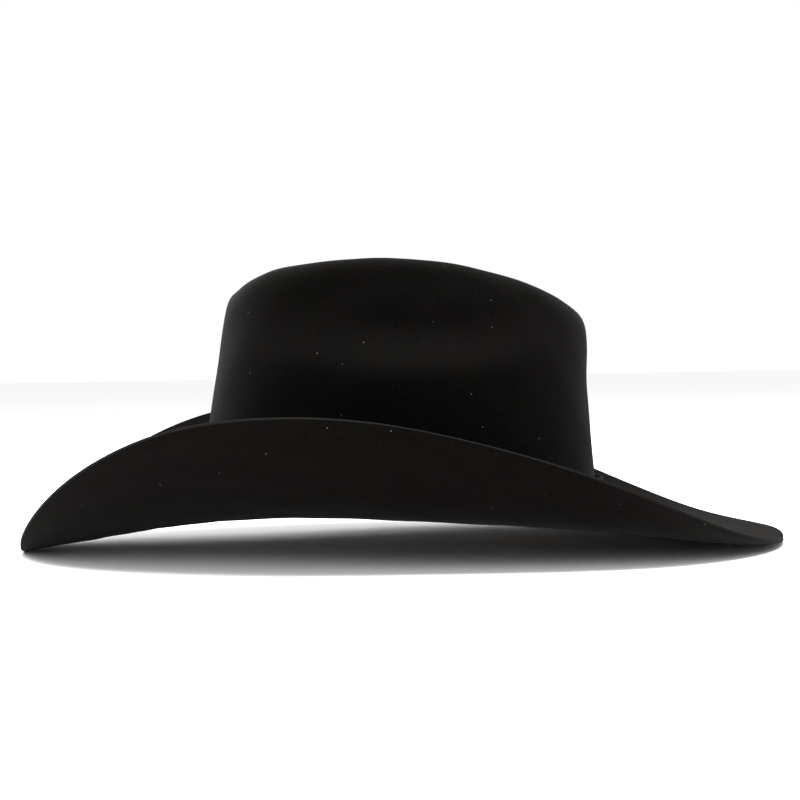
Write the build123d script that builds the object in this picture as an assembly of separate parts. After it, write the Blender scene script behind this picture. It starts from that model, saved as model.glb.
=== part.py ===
from build123d import *
import os
import numpy as np

# A felt cowboy hat with a creased crown, a brim rolled up at both sides, a narrow
# buckled band, a leather sweatband and a satin lining.
# Millimetres. +X is the front of the hat, +Y the wearer's left, +Z up. The hat
# stands on the front and back tips of its brim, and the origin is on the floor
# below the middle of the hat.

# ---------------------------------------------------------------- driving sizes
CROWN_LENGTH = 210.6        # foot of the crown, front to back, middle of the felt
CROWN_WIDTH = 174.0         # foot of the crown, side to side
CROWN_EGG = 0.03            # how much narrower the foot is in front than behind
CROWN_SHIFT = -2.7          # middle of the foot behind the middle of the brim
CROWN_TOP = 148.6           # level of the highest ridge
FELT = 2.4                  # thickness of the felt

# Values at seven stations round one half of the hat, from the front (0 degrees)
# over the side (90) to the back (180), every 30 degrees.
FOOT_LEVEL = (25.0, 26.0, 27.8, 27.9, 25.3, 21.6, 19.9)
BRIM_WIDTH = (98.6, 102.0, 98.5, 95.4, 94.9, 96.0, 96.8)
BRIM_START = (-18.6, -15.9, -13.2, -13.0, -11.9, -12.2, -13.4)
BRIM_END = (6.8, 6.4, 55.0, 79.4, 56.2, 24.8, -8.1)
BRIM_CURL = (2.38, 2.25, 1.80, 1.09, 0.60, 0.59, 0.69)
RIM_FALL = (28.5, 20.5, 8.0, 0.5, 1.0, 7.5, 14.5)
CREASE_DEPTH = (2.0, 11.0, 22.0, 28.0, 25.0, 15.0, 6.0)

# Guide rings. The brim's are shares of its width, from the edge inwards. The
# wall's are (share of the height, set in at the front, at the side, at the back),
# and the top's are (share of the crease depth, the same three).
BRIM_RINGS = (1.0, 0.93, 0.84, 0.75, 0.66, 0.57, 0.48, 0.39, 0.30, 0.21, 0.13, 0.06)
WALL_RINGS = (
    (0.00, 0.0, 0.0, 0.0),
    (0.06, 2.4, 1.2, 1.6),
    (0.16, 3.6, 2.2, 2.6),
    (0.32, 4.6, 3.4, 4.0),
    (0.50, 5.9, 4.6, 6.6),
    (0.68, 6.8, 6.0, 10.2),
    (0.84, 6.4, 8.0, 13.2),
    (0.96, 6.2, 13.0, 15.0),
    (1.03, 10.5, 22.0, 20.0),
    (1.00, 20.0, 32.0, 30.0),
)
TOP_RINGS = (
    (0.45, 32.0, 44.0, 42.0),
    (0.92, 42.0, 66.0, 52.0),
    (1.0, 47.0, 78.0, 57.0),
)
CREASE_FRONT = 50.0         # the crease stops this far behind the front of the foot
CREASE_BACK = 60.0          # and this far before the back of the foot

DENT_X = 5.5                # middle of each side dent
DENT_Z = 128.0
DENT_HALF_LENGTH = 124.0
DENT_HALF_HEIGHT = 38.0
DENT_FLAT = 0.25            # share of the dent that has its full depth
DENT_DEPTH = 13.0

SWEATBAND_HEIGHT = 50.0
SWEATBAND_RISE = 4.5        # lower edge above the foot of the crown
LEATHER = 1.0
REED = 1.8
TAPE_HEIGHT = SWEATBAND_HEIGHT / 5   # the tape ends at the leather's first row of points
TAPE = 0.4
THREAD = 0.5
SATIN = 0.4
PIPING = 1.6
SLIP = 0.15                 # clearance between layers that lie on each other
LINER_SLACK = 0.5           # the lining hangs this far inside the felt

BAND_RISE = 3.8             # lower edge of the band above the foot of the crown
BAND_HEIGHT = 7.6
BAND = 1.3                  # thickness of the band and of its tail
BAND_GAP = 1.4              # the band stands off the felt, with the keeper's back between
BUCKLE_ANGLE = 84.0         # where the heel bar of the buckle is, round from the front
BUCKLE_LENGTH = 12.0        # heel bar to far bar
BAR = 1.6                   # thickness of the buckle's bars
BUCKLE_CLEARANCE = 0.7      # between the band's tail and the buckle's sides
FOLD = 0.7                  # thickness of the fold that holds the heel bar
PRONG_WIDTH = 1.7
KEEPER = 0.5
KEEPER_WIDTH = 4.0
KEEPER_CLEARANCE = 0.25
KEEPER_AT = 19.0            # along the band, behind the heel bar
TIP_AT = 31.0
TIP_LENGTH = 9.0
TAIL_FRONT = 19.0           # the tail starts this far in front of the heel bar

TAB_LENGTH = 22.0           # blank size tab, behind the sweatband
TAB_HEIGHT = 14.0
TAB = 0.3

FOOT_RING = float(len(BRIM_RINGS))
CREASE_RING = float(len(BRIM_RINGS) + len(WALL_RINGS) + len(TOP_RINGS))
FLOOR_RING = CREASE_RING - 0.8      # the narrow floor of the crease starts here


# ------------------------------------------------------------- shape of the felt
def round_half(stations, t):
    """A smooth symmetric value at angle t from its stations: the cosine series
    that passes through them."""
    last = len(stations) - 1
    angles = np.pi * np.arange(last + 1) / last
    weights = np.ones(last + 1)
    weights[[0, last]] = 0.5
    value = np.zeros_like(t)
    for k in range(last + 1):
        share = 2 / last * weights[k] * np.sum(weights * stations * np.cos(k * angles))
        value = value + share * np.cos(k * t)
    return value


def oval(t, front=0.0, side=0.0, back=0.0):
    """The foot oval, set in by three amounts."""
    half_length = (CROWN_LENGTH - front - back) / 2
    x = CROWN_SHIFT + (back - front) / 2 + half_length * np.cos(t)
    y = (CROWN_WIDTH / 2 - side) * np.sin(t) * (1 - CROWN_EGG * np.cos(t))
    return x, y


def oval_normal(t):
    dx = -CROWN_LENGTH / 2 * np.sin(t)
    dy = CROWN_WIDTH / 2 * (np.cos(t) - CROWN_EGG * np.cos(2 * t))
    length = np.hypot(dx, dy)
    return dy / length, -dx / length


def brim_ring(share, t):
    """A ring of the brim: it leaves the foot square to the oval, and its slope
    turns from the start slope to the end slope along a half cosine wave whose
    middle the curl moves in or out."""
    steps = 48
    q = (np.arange(steps) + 0.5)[:, None] * share / steps * np.ones_like(t)
    start = np.radians(round_half(BRIM_START, t))
    end = np.radians(round_half(BRIM_END, t))
    turn = (1 - np.cos(np.pi * q ** round_half(BRIM_CURL, t))) / 2
    slope = start + (end - start) * turn
    run = round_half(BRIM_WIDTH, t) * share
    x, y = oval(t)
    nx, ny = oval_normal(t)
    out = run * np.cos(slope).mean(axis=0)
    z = round_half(FOOT_LEVEL, t) + run * np.sin(slope).mean(axis=0)
    return np.stack([x + nx * out, y + ny * out, z], axis=-1)


def guide_rings(t):
    rings = [brim_ring(share, t) for share in BRIM_RINGS]
    foot = round_half(FOOT_LEVEL, t)
    rim = CROWN_TOP - round_half(RIM_FALL, t)
    for height, front, side, back in WALL_RINGS:
        rings.append(np.stack([*oval(t, front, side, back), foot + height * (rim - foot)], axis=-1))
    crease = (1.0, CREASE_FRONT, CROWN_WIDTH / 2, CREASE_BACK)
    for depth, front, side, back in TOP_RINGS + (crease,):
        level = rim - depth * round_half(CREASE_DEPTH, t)
        rings.append(np.stack([*oval(t, front, side, back), level], axis=-1))
    before = 2 * rings[0] - rings[1]
    across_crease = rings[-2] * np.array([1.0, -1.0, 1.0])
    return np.array([before, *rings, across_crease])


def felt_middle(ring, t):
    """A point midway through the felt, on one half of the hat. A uniform cubic
    B-spline runs over the guide rings, and then the side dent presses the crown in."""
    rings = guide_rings(t)
    i = np.minimum(np.floor(ring).astype(int), len(rings) - 4)
    f = ring - i
    weights = ((1 - f) ** 3, 3 * f**3 - 6 * f**2 + 4, -3 * f**3 + 3 * f**2 + 3 * f + 1, f**3)
    column = np.arange(t.shape[-1])
    point = sum(w[..., None] * rings[i + k, column] for k, w in enumerate(weights)) / 6
    from_middle = np.hypot((point[..., 0] - DENT_X) / DENT_HALF_LENGTH, (point[..., 2] - DENT_Z) / DENT_HALF_HEIGHT)
    q = np.clip((1 - from_middle) / (1 - DENT_FLAT), 0, 1)
    press = DENT_DEPTH / (CROWN_WIDTH / 2) * q * q * (3 - 2 * q)
    on_crown = np.clip(ring - FOOT_RING, 0, 1)
    point[..., 1] *= 1 - press * on_crown
    return point


def felt_at(ring, t, offset):
    """A point at a distance from the middle of the felt: positive outwards or up."""
    ring, t = np.broadcast_arrays(np.asarray(ring, float), t)
    angle = t[0]
    step = 1e-3
    held = np.clip(ring, step, CREASE_RING - 0.02)
    along = felt_middle(held, angle + step) - felt_middle(held, angle - step)
    up = felt_middle(held + step, angle) - felt_middle(held - step, angle)
    normal = np.cross(along, up)
    normal /= np.linalg.norm(normal, axis=-1, keepdims=True)
    normal[ring > CREASE_RING - 0.01, 1] = 0.0
    return felt_middle(ring, angle) + offset * normal


HALF = np.radians(np.linspace(0, 180, 37))[None, :]

ROW = 5.0                   # spacing of the rows of points, measured at the side


def even_rows(first, last):
    """Ring numbers from first to last, evenly spaced along the side of the hat."""
    fine = np.linspace(first, last, 400)
    path = felt_middle(fine[:, None], np.array([np.pi / 2]))[:, 0]
    arc = np.concatenate([[0.0], np.cumsum(np.linalg.norm(np.diff(path, axis=0), axis=1))])
    count = int(np.ceil(arc[-1] / ROW)) + 1
    return np.interp(np.linspace(0, arc[-1], count), arc, fine)[:, None]


brim_rows = even_rows(0, FOOT_RING)
crown_rows = even_rows(FOOT_RING, FLOOR_RING)
brim_top = felt_at(brim_rows, HALF, FELT / 2)
brim_under = felt_at(brim_rows, HALF, -FELT / 2)
crown_outside = felt_at(crown_rows, HALF, FELT / 2)
crown_inside = felt_at(crown_rows, HALF, -FELT / 2)
brim_faces = np.concatenate([brim_top, brim_under])
# The hat is set down on the floor, with its length centred on the origin.
SET_DOWN = np.array([
    -(brim_faces[..., 0].min() + brim_faces[..., 0].max()) / 2,
    0.0,
    -brim_faces[..., 2].min(),
])


def ring_at_height(height, t):
    """The ring number of the crown's wall at a height above its foot."""
    tries = np.arange(FOOT_RING, FOOT_RING + 8.01, 0.05)
    levels = felt_middle(tries[:, None] * np.ones_like(t), t[0])[..., 2]
    target = round_half(FOOT_LEVEL, t[0]) + height
    return np.array([[np.interp(target[j], levels[:, j], tries) for j in range(t.shape[1])]])


def on_wall(height, t, offset):
    """A row of points at a height above the foot, at a level distance from the
    middle of the felt."""
    ring = ring_at_height(height, t)
    here = felt_middle(ring, t[0])[0]
    nx, ny = oval_normal(t[0])
    here[:, 0] += nx * offset
    here[:, 1] += ny * offset
    return here


# ------------------------------------------------------------------ solid makers
def row_curve(points):
    """A smooth curve through one row of points. All rows share its parameters."""
    parameters = [float(p) for p in np.linspace(0, 1, len(points))]
    return Edge.make_spline([tuple(point) for point in points + SET_DOWN], parameters=parameters)


def ruled_rows(rows):
    return [Face.make_surface_from_curves(low, high) for low, high in zip(rows[:-1], rows[1:])]


def sewn(faces):
    return Solid(Shell(Face.sew_faces(faces)[0]))


def closed_half_shells(outer, inner, close_last):
    """The faces of one half of a skin, and their mirror images, sewn into a solid.
    The last row is closed by a strip, or by a floor on each side of the skin where
    it ends at the crease."""
    outside = [row_curve(row) for row in outer]
    inside = [row_curve(row) for row in inner]
    faces = ruled_rows(outside) + ruled_rows(inside) + ruled_rows([outside[0], inside[0]])
    if close_last:
        faces += ruled_rows([outside[-1], inside[-1]])
    faces += [face.mirror(Plane.XZ) for face in faces]
    if not close_last:
        for edge in (outside[-1], inside[-1]):
            faces += ruled_rows([edge, edge.mirror(Plane.XZ)])
    return sewn(faces)


def wall_ring(low, high, near, far, rows=2):
    """A closed hoop on the crown's wall between two heights and two distances."""
    heights = np.linspace(low, high, rows)
    outer = np.array([on_wall(h, HALF, far) for h in heights])
    inner = np.array([on_wall(h, HALF, near) for h in heights])
    return closed_half_shells(outer, inner, True)


def closed_strip(outer, inner):
    """A bent plate between two grids of points, closed on its four sides."""
    outside = [row_curve(row) for row in outer]
    inside = [row_curve(row) for row in inner]
    faces = ruled_rows(outside) + ruled_rows(inside)
    faces += ruled_rows([outside[0], inside[0]]) + ruled_rows([outside[-1], inside[-1]])
    for end in (0, -1):
        out_points = [tuple(point) for point in outer[:, end] + SET_DOWN]
        in_points = [tuple(point) for point in inner[:, end] + SET_DOWN]
        for k in range(len(outer) - 1):
            out_line = Edge.make_line(out_points[k], out_points[k + 1])
            in_line = Edge.make_line(in_points[k], in_points[k + 1])
            faces += ruled_rows([out_line, in_line])
    return sewn(faces)


def wall_plate(low, high, first, last, near, far, rows=2, columns=9):
    """A plate on the crown's wall between two heights, two angles and two distances."""
    angles = np.radians(np.linspace(first, last, columns))[None, :]
    heights = np.linspace(low, high, rows)
    outer = np.array([on_wall(h, angles, far) for h in heights])
    inner = np.array([on_wall(h, angles, near) for h in heights])
    return closed_strip(outer, inner)


def band_points(rise, t, offset):
    """Points on an upright band that keeps its distance from the wall at the
    band's lower edge."""
    points = on_wall(BAND_RISE, t, offset)
    points[:, 2] += rise - BAND_RISE
    return points


# ------------------------------------------------------------------------- felt
parts = {}
parts["felt_brim"] = closed_half_shells(brim_top, brim_under, True)
parts["felt_crown"] = closed_half_shells(crown_outside, crown_inside, False)

# --------------------------------------------------------------- inside the crown
inner_wall = -FELT / 2 - LINER_SLACK
liner_face = inner_wall - SATIN
tape_face = liner_face - SLIP
sweat_outside = tape_face - TAPE - SLIP
sweat_inside = sweat_outside - LEATHER
sweat_top = SWEATBAND_RISE + SWEATBAND_HEIGHT

parts["sweatband"] = wall_ring(SWEATBAND_RISE, sweat_top, sweat_inside, sweat_outside, 6)
parts["reed_tape"] = wall_ring(
    SWEATBAND_RISE + SLIP, SWEATBAND_RISE + TAPE_HEIGHT, sweat_outside + SLIP, tape_face
)
reed_top = SWEATBAND_RISE - SLIP
parts["sweatband_reed"] = wall_ring(reed_top - REED, reed_top, sweat_inside, sweat_inside + REED)
stitch_low = SWEATBAND_RISE + TAPE_HEIGHT - 3 * THREAD
parts["sweatband_stitching"] = wall_ring(
    stitch_low, stitch_low + THREAD, sweat_inside - SLIP - THREAD, sweat_inside - SLIP
)


def lining(rows, near, far, to_crease):
    """A skin inside the crown along some of the felt's rows."""
    return closed_half_shells(felt_at(rows, HALF, far), felt_at(rows, HALF, near), not to_crease)


# The lining's side starts behind the top of the sweatband and ends at the tip's
# seam, where the piping runs; the tip closes the top.
LINER_FOOT = FOOT_RING + 2.5
LINER_SEAM = FOOT_RING + 6.5
seam_row = int(np.searchsorted(crown_rows[:, 0], LINER_SEAM))
foot_row = int(np.searchsorted(crown_rows[:, 0], LINER_FOOT))
parts["liner_side"] = lining(crown_rows[foot_row:seam_row], liner_face, inner_wall, False)
parts["liner_tip"] = lining(crown_rows[seam_row:], liner_face, inner_wall, True)
piping_face = liner_face - LINER_SLACK
parts["liner_piping"] = lining(crown_rows[seam_row - 1:seam_row + 1], piping_face - PIPING, piping_face, False)

# ---------------------------------------------------------- back seam of the leather
SEAM_HALF_ANGLE = 2.0
parts["sweatband_seam_stitches"] = wall_plate(
    SWEATBAND_RISE + 3 * THREAD, sweat_top - 3 * THREAD, 180 - SEAM_HALF_ANGLE, 180 + SEAM_HALF_ANGLE,
    sweat_inside - 2 * SLIP - 2 * THREAD, sweat_inside - 2 * SLIP - THREAD, rows=6, columns=5,
)

BOW_LOOP = 8.0
BOW_HEIGHT = 4.5
BOW = 1.2
BOW_KNOT = 2.6
BOW_ABOVE = 6.0             # middle of the bow above the edge of the leather
BOW_STAND = 2.4             # the flat bow clears the bend of the leather and its seam
bow_spot = on_wall(SWEATBAND_RISE + BOW_ABOVE, np.array([[np.pi]]), sweat_inside)[0] + SET_DOWN
bow_plane = Plane(origin=tuple(bow_spot + np.array([BOW_STAND, 0, 0])), x_dir=(0, 1, 0), z_dir=(1, 0, 0))
bow_sketch = Rectangle(BOW_KNOT, BOW_KNOT)
for side in (-1, 1):
    bow_sketch += Pos(side * (BOW_LOOP + BOW_KNOT) / 2) * RectangleRounded(BOW_LOOP, BOW_HEIGHT, BOW_HEIGHT / 2.2)
bow = extrude(bow_sketch, BOW)
bow += Pos(0, 0, BOW_KNOT / 2 - BOW / 2) * Box(BOW_KNOT, BOW_KNOT, BOW_KNOT)
parts["sweatband_bow"] = bow_plane * bow

TAB_ANGLE = 150.0
TAB_HALF_ANGLE = np.degrees(TAB_LENGTH / (CROWN_LENGTH + CROWN_WIDTH) * 2)
TAB_TUCK = 6.0
tab_face = liner_face - SLIP
parts["size_tab"] = wall_plate(
    sweat_top - TAB_TUCK, sweat_top - TAB_TUCK + TAB_HEIGHT, TAB_ANGLE - TAB_HALF_ANGLE, TAB_ANGLE + TAB_HALF_ANGLE,
    tab_face - TAB, tab_face, rows=4,
)

# ------------------------------------------------------------------ band and buckle
band_inside = FELT / 2 + BAND_GAP
band_outside = band_inside + BAND
band_heights = (BAND_RISE, BAND_RISE + BAND_HEIGHT)
band_outer = np.array([band_points(h, HALF, band_outside) for h in band_heights])
band_inner = np.array([band_points(h, HALF, band_inside) for h in band_heights])
parts["hat_band"] = closed_half_shells(band_outer, band_inner, True)

# The middle line of the band's outer face, and the arc along it from the front.
line_angles = np.radians(np.arange(50.0, 130.01, 0.25))[None, :]
line = band_points(BAND_RISE + BAND_HEIGHT / 2, line_angles, band_outside)
line_arc = np.concatenate([[0.0], np.cumsum(np.linalg.norm(np.diff(line, axis=0), axis=1))])
heel_arc = np.interp(np.radians(BUCKLE_ANGLE), line_angles[0], line_arc)


def angle_at(arc):
    """The angle round the hat at an arc along the band behind the heel bar."""
    return np.interp(heel_arc + np.asarray(arc, float), line_arc, line_angles[0])


def band_plane(arc):
    """A plane on the band's outer face: x to the rear along it, y up, z outwards."""
    step = 0.5
    ends = [np.array([np.interp(heel_arc + arc + d, line_arc, line[:, k]) for k in range(3)]) for d in (-step, step)]
    along = ends[1] - ends[0]
    outward = np.cross(along, (0.0, 0.0, 1.0))
    return Plane(origin=tuple((ends[0] + ends[1]) / 2 + SET_DOWN), x_dir=tuple(along), z_dir=tuple(outward))


heel = band_plane(0.0)
bar_level = SLIP + BAND + KEEPER_CLEARANCE + BAR / 2
bar_radius = BAR / 2
fold_radius = bar_radius + SLIP + FOLD
half_opening = BAND_HEIGHT / 2 + BUCKLE_CLEARANCE

# Frame: a rounded rectangle of square bars, with a round heel bar.
frame_length = BUCKLE_LENGTH + BAR
frame_height = 2 * (half_opening + BAR)
ring = RectangleRounded(frame_length, frame_height, 1.5 * BAR) - RectangleRounded(
    BUCKLE_LENGTH - BAR, 2 * half_opening, BAR / 2
)
frame = Pos(-BUCKLE_LENGTH / 2, 0, bar_level) * extrude(ring, BAR / 2, both=True)
frame = fillet(frame.edges().filter_by(Axis.Z, reverse=True), BAR / 5)
frame -= Pos(0, 0, bar_level) * Box(4 * BAR, 2 * half_opening, 2 * BAR)
heel_bar = Pos(0, 0, bar_level) * Rot(90, 0, 0) * Cylinder(bar_radius, 2 * half_opening + BAR)
parts["buckle_frame"] = heel * (frame + heel_bar)

# Prong: an eye round the heel bar and a pin that rests on the far bar.
eye_radius = bar_radius + SLIP
pin = 1.0
eye = Rot(90, 0, 0) * Cylinder(eye_radius + pin * 0.75, PRONG_WIDTH)
pin_length = BUCKLE_LENGTH + BAR
pin_low = bar_radius + SLIP
prong = eye + Pos(-pin_length / 2, 0, pin_low + pin / 2) * Box(pin_length, PRONG_WIDTH, pin)
prong -= Rot(90, 0, 0) * Cylinder(eye_radius, 2 * PRONG_WIDTH)
parts["buckle_prong"] = heel * Pos(0, 0, bar_level) * prong

# Fold: a strip round the heel bar, slit for the prong and sewn flat on the band.
FOLD_LENGTH = 8.0
slit = PRONG_WIDTH + 4 * SLIP
fold_top = bar_level - eye_radius
fold_width = BAND_HEIGHT - 4 * SLIP
fold = Pos(0, 0, bar_level) * Rot(90, 0, 0) * Cylinder(fold_radius, fold_width)
fold += Pos(FOLD_LENGTH / 2, 0, (SLIP + fold_top) / 2) * Box(FOLD_LENGTH, fold_width, fold_top - SLIP)
fold -= Pos(0, 0, bar_level) * Rot(90, 0, 0) * Cylinder(eye_radius, 2 * fold_width)
slit_reach = fold_radius + pin
fold -= Pos(0, 0, bar_level) * Box(2 * slit_reach, slit, 2 * slit_reach)
parts["band_fold"] = heel * fold

# Tail: it lies on the band, runs under the far bar, climbs over the heel bar with
# the prong through its slit, and lies on the band again up to the tip.
over_heel = bar_level + fold_radius + SLIP
tail_arcs = np.linspace(-TAIL_FRONT, TIP_AT, 51)
climb = BUCKLE_LENGTH - BAR - fold_radius
rise = np.clip((tail_arcs + fold_radius + climb) / climb, 0, 1)
fall = np.clip((FOLD_LENGTH + climb / 2 - tail_arcs) / climb, 0, 1)
lift = SLIP + (over_heel - SLIP) * (1 - np.cos(np.pi * rise)) / 2 * (1 - np.cos(np.pi * fall)) / 2
tail_angles = angle_at(tail_arcs)[None, :]
tail_outer = np.array([band_points(h, tail_angles, band_outside + lift + BAND) for h in band_heights])
tail_inner = np.array([band_points(h, tail_angles, band_outside + lift) for h in band_heights])
tail = closed_strip(tail_outer, tail_inner)
slit_length = BUCKLE_LENGTH - BAR
tail -= heel * (Pos(fold_radius + pin - slit_length / 2, 0, bar_level) * Box(slit_length, slit, 4 * fold_radius))
parts["band_tail"] = tail

# Keeper: a flat loop round the band and its tail.
keeper_opening = BAND_HEIGHT + 2 * KEEPER_CLEARANCE
keeper_low = -BAND - KEEPER_CLEARANCE
keeper_high = SLIP + BAND + KEEPER_CLEARANCE
keeper_outer = Box(KEEPER_WIDTH, keeper_opening + 2 * KEEPER, keeper_high - keeper_low + 2 * KEEPER)
keeper_inner = Box(2 * KEEPER_WIDTH, keeper_opening, keeper_high - keeper_low)
keeper = Pos(0, 0, (keeper_low + keeper_high) / 2) * (keeper_outer - keeper_inner)
parts["band_keeper"] = band_plane(KEEPER_AT) * keeper

# Tip: a pointed cap on the end of the tail.
tip_plane = band_plane(TIP_AT)
tip_half = BAND_HEIGHT / 2
tip_outline = Polygon(
    (SLIP, -tip_half), (TIP_LENGTH - tip_half, -tip_half), (TIP_LENGTH, 0),
    (TIP_LENGTH - tip_half, tip_half), (SLIP, tip_half), align=None,
)
parts["band_tip"] = tip_plane * Pos(0, 0, SLIP) * extrude(tip_outline, BAND + KEEPER)

# The front end of the tail is tacked down.
tack_plane = band_plane(2 * THREAD - TAIL_FRONT)
tack = Pos(0, 0, SLIP + BAND + SLIP + THREAD / 2) * Box(THREAD, BAND_HEIGHT - 4 * THREAD, THREAD)
parts["band_tack_stitches"] = tack_plane * tack

os.makedirs("parts", exist_ok=True)
for name, solid in parts.items():
    export_step(solid, f"parts/{name}.step")
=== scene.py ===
import math
import bmesh
import bpy
import numpy as np
from mathutils import Matrix, Vector


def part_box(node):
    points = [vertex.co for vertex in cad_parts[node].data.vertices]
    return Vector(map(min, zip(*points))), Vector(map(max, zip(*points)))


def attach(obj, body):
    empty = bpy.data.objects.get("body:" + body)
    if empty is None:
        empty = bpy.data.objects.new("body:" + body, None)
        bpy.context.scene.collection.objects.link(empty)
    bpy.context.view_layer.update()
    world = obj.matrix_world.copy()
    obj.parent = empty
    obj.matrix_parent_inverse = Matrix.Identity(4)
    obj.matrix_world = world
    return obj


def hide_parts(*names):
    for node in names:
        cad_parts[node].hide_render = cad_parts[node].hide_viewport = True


# A black fur felt cowboy hat in a white studio. Every piece is a grid or a tube
# worked out from the same rings as the solid model, in metres.

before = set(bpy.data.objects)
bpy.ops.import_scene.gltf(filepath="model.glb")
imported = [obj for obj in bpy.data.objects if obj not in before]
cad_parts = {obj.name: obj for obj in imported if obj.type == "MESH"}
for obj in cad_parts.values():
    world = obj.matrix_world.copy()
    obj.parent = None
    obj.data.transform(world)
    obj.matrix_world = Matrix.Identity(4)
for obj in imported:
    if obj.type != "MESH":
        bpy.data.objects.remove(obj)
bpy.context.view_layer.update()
MM = 0.001

# ------------------------------------------------------------ the felt's own sizes
CROWN_LENGTH, CROWN_WIDTH, CROWN_EGG, CROWN_SHIFT, CROWN_TOP = 210.6, 174.0, 0.03, -2.7, 148.6
FELT = 2.4
FOOT_LEVEL = (25.0, 26.0, 27.8, 27.9, 25.3, 21.6, 19.9)
BRIM_WIDTH = (98.6, 102.0, 98.5, 95.4, 94.9, 96.0, 96.8)
BRIM_START = (-18.6, -15.9, -13.2, -13.0, -11.9, -12.2, -13.4)
BRIM_END = (6.8, 6.4, 55.0, 79.4, 56.2, 24.8, -8.1)
BRIM_CURL = (2.38, 2.25, 1.80, 1.09, 0.60, 0.59, 0.69)
RIM_FALL = (28.5, 20.5, 8.0, 0.5, 1.0, 7.5, 14.5)
CREASE_DEPTH = (2.0, 11.0, 22.0, 28.0, 25.0, 15.0, 6.0)
BRIM_RINGS = (1.0, 0.93, 0.84, 0.75, 0.66, 0.57, 0.48, 0.39, 0.30, 0.21, 0.13, 0.06)
WALL_RINGS = (
    (0.00, 0.0, 0.0, 0.0),
    (0.06, 2.4, 1.2, 1.6),
    (0.16, 3.6, 2.2, 2.6),
    (0.32, 4.6, 3.4, 4.0),
    (0.50, 5.9, 4.6, 6.6),
    (0.68, 6.8, 6.0, 10.2),
    (0.84, 6.4, 8.0, 13.2),
    (0.96, 6.2, 13.0, 15.0),
    (1.03, 10.5, 22.0, 20.0),
    (1.00, 20.0, 32.0, 30.0),
)
TOP_RINGS = (
    (0.45, 32.0, 44.0, 42.0),
    (0.92, 42.0, 66.0, 52.0),
    (1.0, 47.0, 78.0, 57.0),
    (1.0, 50.0, CROWN_WIDTH / 2, 60.0),
)
DENT_X, DENT_Z, DENT_DEPTH = 5.5, 128.0, 13.0
DENT_HALF_LENGTH, DENT_HALF_HEIGHT, DENT_FLAT = 124.0, 38.0, 0.25
FOOT_RING = float(len(BRIM_RINGS))
CREASE_RING = FOOT_RING + len(WALL_RINGS) + len(TOP_RINGS) - 1

SWEATBAND_RISE, SWEATBAND_HEIGHT, LEATHER = 4.5, 50.0, 1.0
SLIP, LINER_SLACK, SATIN, TAPE = 0.15, 0.5, 0.4, 0.4
LINER_FACE = -FELT / 2 - LINER_SLACK - SATIN
SWEAT_OUTSIDE = LINER_FACE - SLIP - TAPE - SLIP
SWEAT_INSIDE = SWEAT_OUTSIDE - LEATHER
BAND_RISE, BAND_HEIGHT, BAND, BAND_GAP = 3.8, 7.6, 1.3, 1.4
TAPE_HEIGHT, REED, PIPING, THREAD_WIDTH = 10.0, 1.8, 1.6, 0.5
LINER_FOOT, LINER_SEAM = FOOT_RING + 2.5, FOOT_RING + 6.5
TAB_ANGLE, TAB_LENGTH, TAB_HEIGHT, TAB, TAB_TUCK = 150.0, 22.0, 14.0, 0.3, 6.0
BOW_ABOVE, BOW_STAND = 6.0, 3.0


# ---------------------------------------------------------------- shape formulas
def round_half(stations, t):
    """The cosine series through seven evenly spaced stations from front to back."""
    last = len(stations) - 1
    angles = np.pi * np.arange(last + 1) / last
    weights = np.ones(last + 1)
    weights[[0, last]] = 0.5
    value = np.zeros_like(t)
    for k in range(last + 1):
        share = 2 / last * weights[k] * np.sum(weights * stations * np.cos(k * angles))
        value = value + share * np.cos(k * t)
    return value


def oval(t, front=0.0, side=0.0, back=0.0):
    """The foot of the crown, set in by three amounts."""
    half_length = (CROWN_LENGTH - front - back) / 2
    x = CROWN_SHIFT + (back - front) / 2 + half_length * np.cos(t)
    y = (CROWN_WIDTH / 2 - side) * np.sin(t) * (1 - CROWN_EGG * np.cos(t))
    return x, y


def oval_normal(t):
    """Outwards and level from the oval: its slope (dx, dy) turned to (dy, -dx)."""
    dx = -CROWN_LENGTH / 2 * np.sin(t)
    dy = CROWN_WIDTH / 2 * (np.cos(t) - CROWN_EGG * np.cos(2 * t))
    length = np.hypot(dx, dy)
    return dy / length, -dx / length


def brim_ring(share, t):
    """A ring of the brim: its slope turns from the start slope to the end slope
    along a half cosine wave, and the ring lies where that slope has led."""
    steps = 48
    q = (np.arange(steps) + 0.5)[:, None] * share / steps * np.ones_like(t)
    start = np.radians(round_half(BRIM_START, t))
    end = np.radians(round_half(BRIM_END, t))
    slope = start + (end - start) * (1 - np.cos(np.pi * q ** round_half(BRIM_CURL, t))) / 2
    run = round_half(BRIM_WIDTH, t) * share
    x, y = oval(t)
    nx, ny = oval_normal(t)
    out = run * np.cos(slope).mean(axis=0)
    level = round_half(FOOT_LEVEL, t) + run * np.sin(slope).mean(axis=0)
    return np.stack([x + nx * out, y + ny * out, level], axis=-1)


def guide_rings(t):
    """All the rings from the brim's edge to the crease, with one more past each end:
    the first mirrored in the edge, the last across the crease."""
    rings = [brim_ring(share, t) for share in BRIM_RINGS]
    foot = round_half(FOOT_LEVEL, t)
    rim = CROWN_TOP - round_half(RIM_FALL, t)
    for height, front, side, back in WALL_RINGS:
        rings.append(np.stack([*oval(t, front, side, back), foot + height * (rim - foot)], axis=-1))
    for depth, front, side, back in TOP_RINGS:
        level = rim - depth * round_half(CREASE_DEPTH, t)
        rings.append(np.stack([*oval(t, front, side, back), level], axis=-1))
    return np.array([2 * rings[0] - rings[1], *rings, rings[-2] * np.array([1.0, -1.0, 1.0])])


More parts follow.
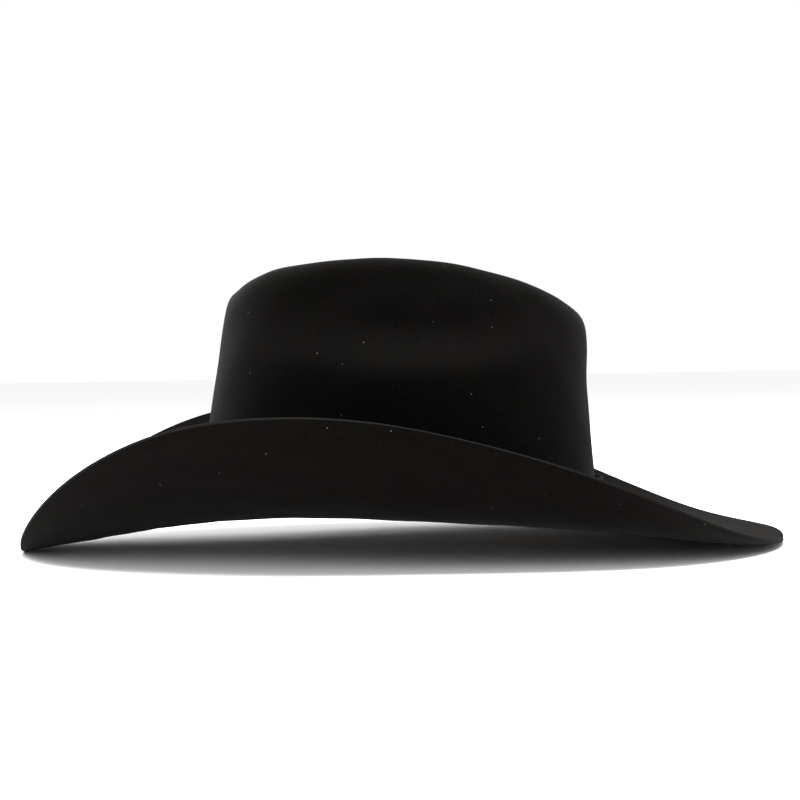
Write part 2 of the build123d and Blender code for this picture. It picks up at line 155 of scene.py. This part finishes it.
def felt_middle(ring, t):
    """Midway through the felt: a uniform cubic B-spline over the guide rings, with
    the side dents pressed in."""
    rings = guide_rings(t)
    i = np.minimum(np.floor(ring).astype(int), len(rings) - 4)
    f = ring - i
    weights = ((1 - f) ** 3, 3 * f**3 - 6 * f**2 + 4, -3 * f**3 + 3 * f**2 + 3 * f + 1, f**3)
    column = np.arange(t.shape[-1])
    point = sum(w[..., None] * rings[i + k, column] for k, w in enumerate(weights)) / 6
    along = (point[..., 0] - DENT_X) / DENT_HALF_LENGTH
    above = (point[..., 2] - DENT_Z) / DENT_HALF_HEIGHT
    from_middle = np.hypot(along, above)
    q = np.clip((1 - from_middle) / (1 - DENT_FLAT), 0, 1)
    press = DENT_DEPTH / (CROWN_WIDTH / 2) * q * q * (3 - 2 * q)
    point[..., 1] *= 1 - press * np.clip(ring - FOOT_RING, 0, 1)
    return point


def felt_at(ring, t, offset):
    """Points at a distance from the middle of the felt, outwards or upwards."""
    ring = np.asarray(ring, float)[:, None] * np.ones_like(t)[None, :]
    step = 1e-3
    held = np.clip(ring, step, CREASE_RING - 0.02)
    along = felt_middle(held, t + step) - felt_middle(held, t - step)
    up = felt_middle(held + step, t) - felt_middle(held - step, t)
    normal = np.cross(along, up)
    normal /= np.linalg.norm(normal, axis=-1, keepdims=True)
    normal[ring > CREASE_RING - 0.01, 1] = 0.0
    return felt_middle(ring, t) + np.asarray(offset, float)[..., None] * normal


felt_low, felt_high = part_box("felt_brim")
coarse = np.radians(np.arange(-180, 180, 5.0))
brim_both = np.concatenate([felt_at(np.linspace(0, FOOT_RING, 40), coarse, s * FELT / 2) for s in (-1, 1)])
SET_DOWN = np.array([
    (felt_low[0] + felt_high[0]) / MM / 2 - (brim_both[..., 0].min() + brim_both[..., 0].max()) / 2,
    0.0,
    felt_low[2] / MM - brim_both[..., 2].min(),
])


def on_wall(height, t, offset):
    """Points at a height above the foot of the crown, a level distance off the felt."""
    tries = np.arange(FOOT_RING, FOOT_RING + 8.01, 0.05)
    levels = felt_middle(tries[:, None] * np.ones_like(t)[None, :], t)[..., 2]
    target = round_half(FOOT_LEVEL, t) + height
    ring = np.array([[np.interp(target[j], levels[:, j], tries) for j in range(len(t))]])
    here = felt_middle(ring, t)[0]
    nx, ny = oval_normal(t)
    here[:, 0] += nx * offset
    here[:, 1] += ny * offset
    return here


# ------------------------------------------------------------------- mesh makers
def mesh_object(name, points, faces, material):
    """An object at the origin from points in millimetres: points that fall together
    are merged, and then every face is turned outwards."""
    mesh = bpy.data.meshes.new(name)
    mesh.from_pydata((points * MM).tolist(), [], faces)
    obj = bpy.data.objects.new(name, mesh)
    bpy.context.collection.objects.link(obj)
    work = bmesh.new()
    work.from_mesh(mesh)
    bmesh.ops.remove_doubles(work, verts=work.verts, dist=1e-6)
    bmesh.ops.recalc_face_normals(work, faces=work.faces)
    work.to_mesh(mesh)
    work.free()
    mesh.polygons.foreach_set("use_smooth", [True] * len(mesh.polygons))
    mesh.materials.append(material)
    return obj


def grid_faces(rows, columns, close_rows, close_columns):
    """The four corners of each cell of a grid of points counted row by row: (i, j),
    (i, j + 1), (i + 1, j + 1), (i + 1, j). A closed direction joins its last line to
    its first."""
    i = np.arange(rows if close_rows else rows - 1)[:, None]
    j = np.arange(columns if close_columns else columns - 1)[None, :]
    next_i = (i + 1) % rows
    next_j = (j + 1) % columns
    corners = (i * columns + j, i * columns + next_j, next_i * columns + next_j, next_i * columns + j)
    return np.stack(corners, axis=-1).reshape(-1, 4)


def grid(name, points, material, close_rows=False, close_columns=True):
    """A surface through rows of points, set down in the frame."""
    rows, columns = points.shape[:2]
    placed = points.reshape(-1, 3) + SET_DOWN
    faces = grid_faces(rows, columns, close_rows, close_columns).tolist()
    return mesh_object(name, placed, faces, material)


def tube_points(path, radius, sides=10, closed=True):
    """Circles square to a path of points; radius may differ along it."""
    step = np.roll(path, -1, 0) - np.roll(path, 1, 0)
    if not closed:
        step[0] = path[1] - path[0]
        step[-1] = path[-1] - path[-2]
    along = step / np.linalg.norm(step, axis=1, keepdims=True)
    side = np.cross(along, (0.0, 0.0, 1.0))
    side /= np.maximum(np.linalg.norm(side, axis=1, keepdims=True), 1e-6)
    up = np.cross(side, along)
    a = np.linspace(0, 2 * np.pi, sides, endpoint=False)[:, None, None]
    wide = np.broadcast_to(np.asarray(radius, float), (len(path),))[None, :, None]
    return path[None] + wide * (np.cos(a) * side[None] + np.sin(a) * up[None])


def tube(name, path, radius, material, sides=10, closed=True):
    """A round cord along a path, from circles square to it."""
    points = tube_points(path, radius, sides, closed)
    return grid(name, points, material, close_rows=True, close_columns=closed)


def joined_tubes(name, paths, radius, material, sides=8):
    """Many short threads in one piece, each thinning to its two ends."""
    points, faces, start = [], [], 0
    for path in paths:
        shape = np.sqrt(np.clip(1 - np.linspace(-1, 1, len(path)) ** 4, 0.02, 1))
        ring = tube_points(path, radius * shape, sides, False)
        points.append(ring.reshape(-1, 3))
        faces += (start + grid_faces(sides, len(path), True, False)).tolist()
        for end in (0, len(path) - 1):
            faces.append(tuple(start + k * len(path) + end for k in range(sides)))
        start += sides * len(path)
    return mesh_object(name, np.concatenate(points) + SET_DOWN, faces, material)


def belongs(obj, body, slot, *nodes):
    """The piece moves with a body and stands for its CAD nodes, which are hidden."""
    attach(obj, body)
    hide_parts(*nodes)


# --------------------------------------------------------------------- materials
def new_material(name):
    """A material with its nodes, links, shader and the object's own coordinates."""
    material = bpy.data.materials.new(name)
    material.use_nodes = True
    nodes = material.node_tree.nodes
    links = material.node_tree.links
    shader = nodes["Principled BSDF"]
    coords = nodes.new("ShaderNodeTexCoord")
    return material, nodes, links, shader, coords


def noise(nodes, links, coords, scale, detail=4.0, roughness=0.6):
    """Cloudy noise, scale to the metre."""
    node = nodes.new("ShaderNodeTexNoise")
    node.inputs["Scale"].default_value = scale
    node.inputs["Detail"].default_value = detail
    node.inputs["Roughness"].default_value = roughness
    links.new(coords.outputs["Object"], node.inputs["Vector"])
    return node


def ramp(nodes, links, source, stops):
    """Colours that follow a value, from (place, colour) stops in order."""
    node = nodes.new("ShaderNodeValToRGB")
    elements = node.color_ramp.elements
    for element, (position, colour) in zip(elements, (stops[0], stops[-1])):
        element.position = position
        element.color = (*colour, 1)
    for position, colour in stops[1:-1]:
        element = elements.new(position)
        element.color = (*colour, 1)
    links.new(source, node.inputs["Fac"])
    return node


def bump(nodes, links, shader, heights, distance):
    """One bump from several (socket, weight) heights."""
    total = None
    for socket, weight in heights:
        scaled = nodes.new("ShaderNodeMath")
        scaled.operation = "MULTIPLY"
        scaled.inputs[1].default_value = weight
        links.new(socket, scaled.inputs[0])
        if total is None:
            total = scaled.outputs[0]
        else:
            add = nodes.new("ShaderNodeMath")
            add.operation = "ADD"
            links.new(total, add.inputs[0])
            links.new(scaled.outputs[0], add.inputs[1])
            total = add.outputs[0]
    node = nodes.new("ShaderNodeBump")
    node.inputs["Distance"].default_value = distance
    node.inputs["Strength"].default_value = 1.0
    links.new(total, node.inputs["Height"])
    links.new(node.outputs["Normal"], shader.inputs["Normal"])


def felt_material(name, dark, light, lint):
    """Brushed fur felt: mottled black, a fine nap that catches light at grazing
    angles, and a few pale specks of lint."""
    material, nodes, links, shader, coords = new_material(name)
    mottle = noise(nodes, links, coords, 900.0, 6.0, 0.7)
    clouds = noise(nodes, links, coords, 60.0, 3.0, 0.5)
    fibres = noise(nodes, links, coords, 4200.0, 2.0, 0.6)
    base = ramp(nodes, links, mottle.outputs["Fac"], [(0.3, dark), (0.72, light)])
    tint = nodes.new("ShaderNodeMix")
    tint.data_type = "RGBA"
    tint.blend_type = "MULTIPLY"
    tint.inputs["Factor"].default_value = 0.35
    cloud_tint = ramp(nodes, links, clouds.outputs["Fac"], [(0.3, (0.7, 0.7, 0.7)), (0.7, (1.25, 1.22, 1.2))])
    links.new(base.outputs["Color"], tint.inputs["A"])
    links.new(cloud_tint.outputs["Color"], tint.inputs["B"])
    specks = nodes.new("ShaderNodeTexVoronoi")
    specks.inputs["Scale"].default_value = 170.0
    specks.inputs["Randomness"].default_value = 1.0
    links.new(coords.outputs["Object"], specks.inputs["Vector"])
    chosen = nodes.new("ShaderNodeSeparateColor")
    links.new(specks.outputs["Color"], chosen.inputs["Color"])
    near = nodes.new("ShaderNodeMath")
    near.operation = "LESS_THAN"
    near.inputs[1].default_value = 0.055
    links.new(specks.outputs["Distance"], near.inputs[0])
    rare = nodes.new("ShaderNodeMath")
    rare.operation = "GREATER_THAN"
    rare.inputs[1].default_value = 1 - lint
    links.new(chosen.outputs["Red"], rare.inputs[0])
    both = nodes.new("ShaderNodeMath")
    both.operation = "MULTIPLY"
    links.new(near.outputs[0], both.inputs[0])
    links.new(rare.outputs[0], both.inputs[1])
    speck = nodes.new("ShaderNodeMix")
    speck.data_type = "RGBA"
    speck.inputs["B"].default_value = (0.10, 0.09, 0.08, 1)
    links.new(both.outputs[0], speck.inputs["Factor"])
    links.new(tint.outputs["Result"], speck.inputs["A"])
    links.new(speck.outputs["Result"], shader.inputs["Base Color"])
    shader.inputs["Roughness"].default_value = 0.95
    shader.inputs["Specular IOR Level"].default_value = 0.03
    shader.inputs["Sheen Weight"].default_value = 0.022
    shader.inputs["Sheen Roughness"].default_value = 0.45
    shader.inputs["Sheen Tint"].default_value = (1.0, 0.96, 0.92, 1)
    bump(nodes, links, shader, [(mottle.outputs["Fac"], 0.6), (fibres.outputs["Fac"], 0.4)], 0.00022)
    return material


def leather_material(name, dark, light):
    """Leather: a cellular grain, cloudy colour, and gloss that follows the clouds."""
    material, nodes, links, shader, coords = new_material(name)
    grain = nodes.new("ShaderNodeTexVoronoi")
    grain.inputs["Scale"].default_value = 1100.0
    links.new(coords.outputs["Object"], grain.inputs["Vector"])
    clouds = noise(nodes, links, coords, 70.0, 4.0, 0.55)
    base = ramp(nodes, links, clouds.outputs["Fac"], [(0.3, dark), (0.75, light)])
    links.new(base.outputs["Color"], shader.inputs["Base Color"])
    gloss = ramp(nodes, links, clouds.outputs["Fac"], [(0.2, (0.42, 0.42, 0.42)), (0.8, (0.6, 0.6, 0.6))])
    links.new(gloss.outputs["Color"], shader.inputs["Roughness"])
    bump(nodes, links, shader, [(grain.outputs["Distance"], 0.7), (clouds.outputs["Fac"], 0.3)], 0.00012)
    return material


def woven_material(name, dark, light, pitch, sheen, roughness, stripe_axis="Z"):
    """Cloth with fine ribs a pitch apart along one axis, in metres."""
    material, nodes, links, shader, coords = new_material(name)
    ribs = nodes.new("ShaderNodeTexWave")
    ribs.bands_direction = stripe_axis
    ribs.inputs["Scale"].default_value = 0.314 / pitch
    ribs.inputs["Distortion"].default_value = 0.6
    links.new(coords.outputs["Object"], ribs.inputs["Vector"])
    clouds = noise(nodes, links, coords, 300.0, 4.0, 0.6)
    base = ramp(nodes, links, clouds.outputs["Fac"], [(0.25, dark), (0.75, light)])
    links.new(base.outputs["Color"], shader.inputs["Base Color"])
    shader.inputs["Roughness"].default_value = roughness
    shader.inputs["Sheen Weight"].default_value = sheen
    bump(nodes, links, shader, [(ribs.outputs["Fac"], 0.6), (clouds.outputs["Fac"], 0.3)], pitch * 0.25)
    return material


def metal_material(name, colour):
    """Brushed metal: long fine scratches, brighter worn patches."""
    material, nodes, links, shader, coords = new_material(name)
    stretch = nodes.new("ShaderNodeMapping")
    stretch.inputs["Scale"].default_value = (0.08, 1.0, 1.0)
    links.new(coords.outputs["Object"], stretch.inputs["Vector"])
    brush = nodes.new("ShaderNodeTexNoise")
    brush.inputs["Scale"].default_value = 6000.0
    links.new(stretch.outputs["Vector"], brush.inputs["Vector"])
    wear = noise(nodes, links, coords, 260.0)
    tone = ramp(nodes, links, wear.outputs["Fac"], [(0.3, tuple(c * 0.8 for c in colour)), (0.7, colour)])
    links.new(tone.outputs["Color"], shader.inputs["Base Color"])
    gloss = ramp(nodes, links, wear.outputs["Fac"], [(0.3, (0.2, 0.2, 0.2)), (0.8, (0.38, 0.38, 0.38))])
    links.new(gloss.outputs["Color"], shader.inputs["Roughness"])
    shader.inputs["Metallic"].default_value = 1.0
    bump(nodes, links, shader, [(brush.outputs["Fac"], 1.0)], 0.00002)
    return material


FELT_BLACK = felt_material("felt_black", (0.0010, 0.0009, 0.0008), (0.0036, 0.0032, 0.0028), 0.30)
BAND_BLACK = felt_material("band_felt", (0.0014, 0.0013, 0.0012), (0.0044, 0.004, 0.0036), 0.06)
BROWN_LEATHER = leather_material("sweatband_leather", (0.05, 0.024, 0.012), (0.11, 0.055, 0.028))
SATIN_BLACK = woven_material("lining_satin", (0.018, 0.017, 0.017), (0.035, 0.033, 0.032), 0.0005, 0.25, 0.32)
TAPE_BLACK = woven_material("reed_tape", (0.012, 0.011, 0.01), (0.025, 0.022, 0.02), 0.0007, 0.1, 0.8)
CORD_BLACK = woven_material("piping", (0.03, 0.028, 0.026), (0.055, 0.052, 0.048), 0.0009, 0.2, 0.4, "X")
RIBBON = woven_material("ribbon", (0.02, 0.012, 0.008), (0.045, 0.026, 0.016), 0.0006, 0.15, 0.5, "Y")
THREAD = woven_material("thread", (0.07, 0.04, 0.022), (0.15, 0.09, 0.05), 0.0003, 0.1, 0.6, "X")
BLACK_THREAD = woven_material(
    "band_thread", (0.01, 0.009, 0.008), (0.02, 0.018, 0.016), 0.0003, 0.1, 0.6, "X"
)
PAPER = woven_material("tab_paper", (0.55, 0.52, 0.46), (0.72, 0.7, 0.64), 0.0008, 0.0, 0.9)
STEEL = metal_material("buckle_metal", (0.56, 0.55, 0.53))

# --------------------------------------------------------------- round the hat
def around(columns, dense=0):
    """Angles right round from the back, with extra ones close to the back seam."""
    t = np.linspace(-np.pi, np.pi, columns, endpoint=False)
    close = np.pi - np.radians(np.linspace(0.05, 2.6, dense)) if dense else np.zeros(0)
    return np.unique(np.concatenate([t, close, -close]))


def wall_band(name, heights, near, far, t, material, press=None):
    """A hoop on the crown's wall: up its outer face and down its inner one, its two
    edges rounded off. press(height, t) moves the inner face off the wall."""
    rows = []
    low, high = heights[0], heights[-1]
    middle, half = (near + far) / 2, (far - near) / 2
    for a in np.radians(np.linspace(-90, 90, 5))[1:-1]:
        rows.append((low + half * (1 - np.cos(a)), middle + half * np.sin(a)))
    rows += [(h, far) for h in heights[1:-1]]
    for a in np.radians(np.linspace(90, -90, 5))[1:-1]:
        rows.append((high - half * (1 - np.cos(a)), middle + half * np.sin(a)))
    rows += [(h, near) for h in heights[-2:0:-1]]
    points = []
    for height, offset in rows:
        shift = press(height, t) if press and offset == near else 0.0
        points.append(on_wall(height, t, offset + shift))
    return grid(name, np.array(points), material, close_rows=True)


def ribbon(name, path, across, width, thickness, material, closed):
    """A flat strip with rounded edges along a path, square to a direction across."""
    step = np.roll(path, -1, 0) - np.roll(path, 1, 0)
    if not closed:
        step[0] = path[1] - path[0]
        step[-1] = path[-1] - path[-2]
    across = np.array(across, float)
    normal = np.cross(step, across)
    normal /= np.linalg.norm(normal, axis=1, keepdims=True)
    a = np.radians(np.linspace(0, 360, 16, endpoint=False))
    wide = np.sign(np.cos(a)) * np.abs(np.cos(a)) ** 0.4 * width / 2
    thick = np.sign(np.sin(a)) * np.abs(np.sin(a)) ** 0.8 * thickness / 2
    points = path[None] + wide[:, None, None] * across + thick[:, None, None] * normal[None]
    return grid(name, points, material, close_rows=True, close_columns=closed)


# ---------------------------------------------------------------------- the felt
def felt_rows():
    """Places from the cut edge to the crease, close together round the foot."""
    brim = np.concatenate([np.linspace(0.02, 1.0, 12), np.linspace(1.0, FOOT_RING - 1.5, 44)[1:]])
    foot = np.linspace(FOOT_RING - 1.5, FOOT_RING + 2.0, 18)[1:]
    wall = np.linspace(FOOT_RING + 2.0, CREASE_RING, 50)[1:]
    return np.concatenate([brim, foot, wall])


def felt_surface():
    """The whole hood: down the outside from the crease to the cut edge, round the
    edge in a small half circle, and back up the inside. Its surface wavers by a
    tenth of a millimetre, as pressed felt does."""
    t = around(340)
    rows = felt_rows()
    shape = np.ones_like(rows)[:, None] * np.ones_like(t)[None, :]
    fade = np.clip((CREASE_RING - rows) / 1.5, 0, 1)[:, None]
    waver = 0.10 * fade * (
        np.sin(7 * t[None] + 1.9 * rows[:, None]) + np.sin(11 * t[None] - 2.7 * rows[:, None] + 1.0)
        + 0.7 * np.sin(17 * t[None] + 3.6 * rows[:, None] + 2.0)
    )
    outside = felt_at(rows, t, FELT / 2 * shape + waver)
    inside = felt_at(rows, t, -FELT / 2 * shape + waver)
    edge = []
    for a in np.radians(np.linspace(90, -90, 9))[1:-1]:
        reach = 0.02 * (1 - np.cos(a))
        edge.append(felt_at([reach], t, FELT / 2 * np.sin(a) * np.ones((1, len(t))) + waver[:1])[0])
    return np.concatenate([outside[::-1], np.array(edge), inside])


felt = grid("felt", felt_surface(), FELT_BLACK)
belongs(felt, "hat", "felt", "felt_crown", "felt_brim")


# ------------------------------------------------------------- inside the crown
def leather_press(height, t):
    """The leather's face: a groove at its back seam, soft waves, a pressed line."""
    from_seam = np.abs(np.abs(t) - np.pi) * CROWN_WIDTH / 2
    groove = 0.45 * np.exp(-((from_seam / 0.5) ** 2))
    share = (height - SWEATBAND_RISE) / SWEATBAND_HEIGHT
    waves = 0.35 * share * np.sin(9 * t + 3.0 * share) ** 2 + 0.25 * share * np.sin(14 * t - 2.0) ** 2
    line = 0.22 * math.exp(-(((share - 0.9) / 0.016) ** 2))
    return groove - waves + line


sweat_heights = SWEATBAND_RISE + SWEATBAND_HEIGHT * np.concatenate([
    np.linspace(0, 0.86, 18), np.linspace(0.875, 0.93, 9), [0.96, 0.98, 1.0]
])
sweatband = wall_band(
    "leather_sweatband", sweat_heights, SWEAT_INSIDE, SWEAT_OUTSIDE, around(260, 8),
    BROWN_LEATHER, leather_press
)
belongs(sweatband, "hat", "sweatband_leather", "sweatband")

tape_heights = np.linspace(SWEATBAND_RISE + SLIP, SWEATBAND_RISE + TAPE_HEIGHT, 6)
tape = wall_band(
    "tape", tape_heights, SWEAT_OUTSIDE + SLIP, LINER_FACE - SLIP, around(200), TAPE_BLACK
)
belongs(tape, "hat", "reed_tape", "reed_tape")

reed_path = on_wall(SWEATBAND_RISE - SLIP - REED / 2, around(240), SWEAT_INSIDE + REED / 2)
reed = tube("reed", reed_path, REED / 2, TAPE_BLACK, 12)
belongs(reed, "hat", "reed", "sweatband_reed")

stitch_height = SWEATBAND_RISE + TAPE_HEIGHT - 2.5 * THREAD_WIDTH
stitch_line = on_wall(stitch_height, around(1200), SWEAT_INSIDE - SLIP)
inward = on_wall(stitch_height, around(1200), SWEAT_INSIDE - SLIP - 0.35) - stitch_line
stitches = []
for k in range(0, 1200, 6):
    share = np.linspace(0.08, 0.92, 7) * 5
    at = k + share
    low = np.floor(at).astype(int)
    part = (at - low)[:, None]
    here = stitch_line[low % 1200] * (1 - part) + stitch_line[(low + 1) % 1200] * part
    rise = np.sin(np.linspace(0, np.pi, 7))[:, None]
    stitches.append(here + inward[k] * rise)
stitching = joined_tubes("stitching", stitches, THREAD_WIDTH / 2, THREAD)
belongs(stitching, "hat", "thread", "sweatband_stitching")


def zigzag():
    """Thread crossing the back seam of the leather from side to side as it climbs."""
    heights = np.arange(SWEATBAND_RISE + 1.5, SWEATBAND_RISE + SWEATBAND_HEIGHT - 1.5, 0.45)
    phase = (heights - heights[0]) / 3.2
    swing = 2 * np.abs(2 * (phase - np.floor(phase + 0.5))) - 1
    path = []
    for height, side in zip(heights, swing):
        angle = np.array([np.pi + np.radians(1.6) * side])
        path.append(on_wall(height, angle, SWEAT_INSIDE - 0.35 - 0.25 * (1 - side * side))[0])
    return np.array(path)


seam = tube("seam_thread", zigzag(), 0.25, THREAD, 8, closed=False)
belongs(seam, "hat", "thread", "sweatband_seam_stitches")


def lining_surface(first, last, rows, gathers):
    """A satin skin inside the felt. Its inner face is gathered in soft folds that
    run up the crown, deepest between the top of the leather and the seam."""
    t = around(280)
    ring = np.linspace(first, last, rows)
    shape = np.ones((rows, len(t)))
    rise = np.clip((ring - FOOT_RING - 4.6) / 0.8, 0, 1)[:, None]
    rise = rise * np.clip((CREASE_RING - ring) / 2.5, 0, 1)[:, None]
    fold = gathers * rise * (
        np.sin(24 * t[None] + 0.8 * ring[:, None]) ** 2
        + 0.6 * np.sin(17 * t[None] - 1.1 * ring[:, None]) ** 2
    )
    inner = felt_at(ring, t, LINER_FACE * shape - fold)
    outer = felt_at(ring, t, (LINER_FACE + SATIN) * shape)
    return np.concatenate([outer, inner[::-1]])


liner_side = grid(
    "lining_side", lining_surface(LINER_FOOT, LINER_SEAM - 0.1, 44, 0.7), SATIN_BLACK, close_rows=True
)
belongs(liner_side, "hat", "lining_satin", "liner_side")

liner_tip = grid(
    "lining_tip", lining_surface(LINER_SEAM, CREASE_RING, 60, 0.35), SATIN_BLACK, close_rows=True
)
belongs(liner_tip, "hat", "lining_satin", "liner_tip")

piping_path = felt_at([LINER_SEAM - 0.1], around(260), LINER_FACE - LINER_SLACK - PIPING / 2)[0]
piping = tube("seam_piping", piping_path, PIPING / 2, CORD_BLACK, 10)
belongs(piping, "hat", "piping", "liner_piping")


def tab_surface():
    """A small blank card tucked behind the leather, its free end leaning inwards."""
    half = 2 * TAB_LENGTH / (CROWN_LENGTH + CROWN_WIDTH)
    angles = np.radians(TAB_ANGLE) + np.linspace(-half, half, 14)
    low = SWEATBAND_RISE + SWEATBAND_HEIGHT - TAB_TUCK
    faces = []
    for side in (0.0, -TAB):
        rows = []
        for share in np.linspace(0, 1, 12):
            lean = -1.1 * max(0.0, share - 0.45) ** 1.5
            rows.append(on_wall(low + TAB_HEIGHT * share, angles, LINER_FACE - SLIP + side + lean))
        faces.append(np.array(rows))
    return np.concatenate([faces[0], faces[1][::-1]])


tab = grid("blank_tab", tab_surface(), PAPER, close_rows=True, close_columns=False)
belongs(tab, "hat", "tab_paper", "size_tab")

bow_spot = on_wall(SWEATBAND_RISE + BOW_ABOVE, np.array([np.pi]), SWEAT_INSIDE)[0]
bow_spot = bow_spot + np.array([BOW_STAND, 0.0, 0.0])
turn = np.linspace(0, 2 * np.pi, 40, endpoint=False)
for side, word in ((-1, "left"), (1, "right")):
    loop = np.stack([
        bow_spot[0] + 0.62 * np.sin(turn) * (1 - 0.3 * np.cos(turn)),
        bow_spot[1] + side * (0.9 + 4.2 * (1 - np.cos(turn))),
        bow_spot[2] + 0.5 * np.sin(turn / 2) * side,
    ], axis=-1)
    piece = ribbon("bow_loop_" + word, loop, (0.0, 0.0, 1.0), 4.2, 0.22, RIBBON, True)
    belongs(piece, "hat", "ribbon", "sweatband_bow")
knot_turn = np.stack([
    bow_spot[0] + 1.15 * np.cos(turn), np.full(40, bow_spot[1]), bow_spot[2] + 2.0 * np.sin(turn)
], axis=-1)
knot = ribbon("bow_knot", knot_turn, (0.0, 1.0, 0.0), 2.4, 0.45, RIBBON, True)
belongs(knot, "hat", "ribbon", "sweatband_bow")


# ---------------------------------------------------------------- band and buckle
def band_surface():
    """The narrow upright felt band, its cut edges rounded, standing off the wall."""
    t = around(320)
    near, far = FELT / 2 + BAND_GAP, FELT / 2 + BAND_GAP + BAND
    middle, half = (near + far) / 2, (far - near) / 2
    rows = []
    for a in np.radians(np.linspace(-90, 90, 7))[1:-1]:
        rows.append((half * (1 - np.cos(a)), middle + half * np.sin(a)))
    rows += [(rise, far) for rise in np.linspace(1.0, BAND_HEIGHT - 1.0, 6)]
    for a in np.radians(np.linspace(90, -90, 7))[1:-1]:
        rows.append((BAND_HEIGHT - half * (1 - np.cos(a)), middle + half * np.sin(a)))
    rows += [(rise, near) for rise in np.linspace(BAND_HEIGHT - 1.0, 1.0, 6)]
    points = []
    for rise, offset in rows:
        row = on_wall(BAND_RISE, t, offset)
        row[:, 2] += rise
        points.append(row)
    return np.array(points)


band = grid("band", band_surface(), BAND_BLACK, close_rows=True)
belongs(band, "hat", "band_felt", "hat_band")

CAD_FINISH = {
    "buckle_frame": STEEL,
    "buckle_prong": STEEL,
    "band_tip": STEEL,
    "band_fold": BAND_BLACK,
    "band_tail": BAND_BLACK,
    "band_keeper": BAND_BLACK,
    "band_tack_stitches": BLACK_THREAD,
}
for node, material in CAD_FINISH.items():
    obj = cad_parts[node]
    obj.data.materials.clear()
    obj.data.materials.append(material)

# ------------------------------------------------------------- studio and camera
FLOOR_SIZE = 12.0
CAMERA_AZIMUTH, CAMERA_ELEVATION, CAMERA_ROLL = -1.076, 1.457, -0.937
CAMERA_TARGET = (0.234, 0.0, 76.61)
CAMERA_DISTANCE, CAMERA_LENS = 1.1538, 97.4

floor_mesh = bpy.data.meshes.new("floor")
reach = FLOOR_SIZE / 2
corners = [(-reach, -reach, 0), (reach, -reach, 0), (reach, reach, 0), (-reach, reach, 0)]
floor_mesh.from_pydata(corners, [], [(0, 1, 2, 3)])
floor = bpy.data.objects.new("floor", floor_mesh)
bpy.context.collection.objects.link(floor)
floor_material, _, _, floor_shader, _ = new_material("floor")
floor_shader.inputs["Base Color"].default_value = (0.92, 0.92, 0.92, 1)
floor_shader.inputs["Roughness"].default_value = 0.9
floor_mesh.materials.append(floor_material)


def area_light(name, place, size, power, aim):
    """A soft rectangular lamp turned to a point."""
    lamp = bpy.data.lights.new(name, "AREA")
    lamp.shape = "RECTANGLE"
    lamp.size, lamp.size_y = size
    lamp.energy = power
    obj = bpy.data.objects.new(name, lamp)
    obj.location = place
    obj.rotation_mode = "QUATERNION"
    obj.rotation_quaternion = (Vector(aim) - Vector(place)).to_track_quat("-Z", "Y")
    bpy.context.collection.objects.link(obj)


area_light("top", (0.0, 0.1, 1.2), (1.0, 0.6), 46.0, (0.0, 0.0, 0.08))
area_light("behind", (-0.9, 1.1, 0.9), (0.9, 0.9), 24.0, (0.0, 0.0, 0.1))

scene = bpy.context.scene
world = bpy.data.worlds.new("studio")
world.use_nodes = True
world.node_tree.nodes["Background"].inputs["Color"].default_value = (1, 1, 1, 1)
world.node_tree.nodes["Background"].inputs["Strength"].default_value = 1.0
scene.world = world

azimuth, elevation, roll = (math.radians(a) for a in (CAMERA_AZIMUTH, CAMERA_ELEVATION, CAMERA_ROLL))
target = Vector(CAMERA_TARGET) * MM
back = Vector((
    math.sin(azimuth) * math.cos(elevation), -math.cos(azimuth) * math.cos(elevation), math.sin(elevation)
))
right = Vector((math.cos(azimuth), math.sin(azimuth), 0.0))
up = back.cross(right)
camera_right = math.cos(roll) * right + math.sin(roll) * up
camera_up = math.cos(roll) * up - math.sin(roll) * right
lens = bpy.data.cameras.new("camera")
lens.lens = CAMERA_LENS
lens.sensor_width = 36.0
lens.clip_start = 0.01
camera = bpy.data.objects.new("camera", lens)
matrix = Matrix((camera_right, camera_up, back)).transposed().to_4x4()
matrix.translation = target + CAMERA_DISTANCE * back
camera.matrix_world = matrix
bpy.context.collection.objects.link(camera)
scene.camera = camera
scene.view_settings.view_transform = "Standard"
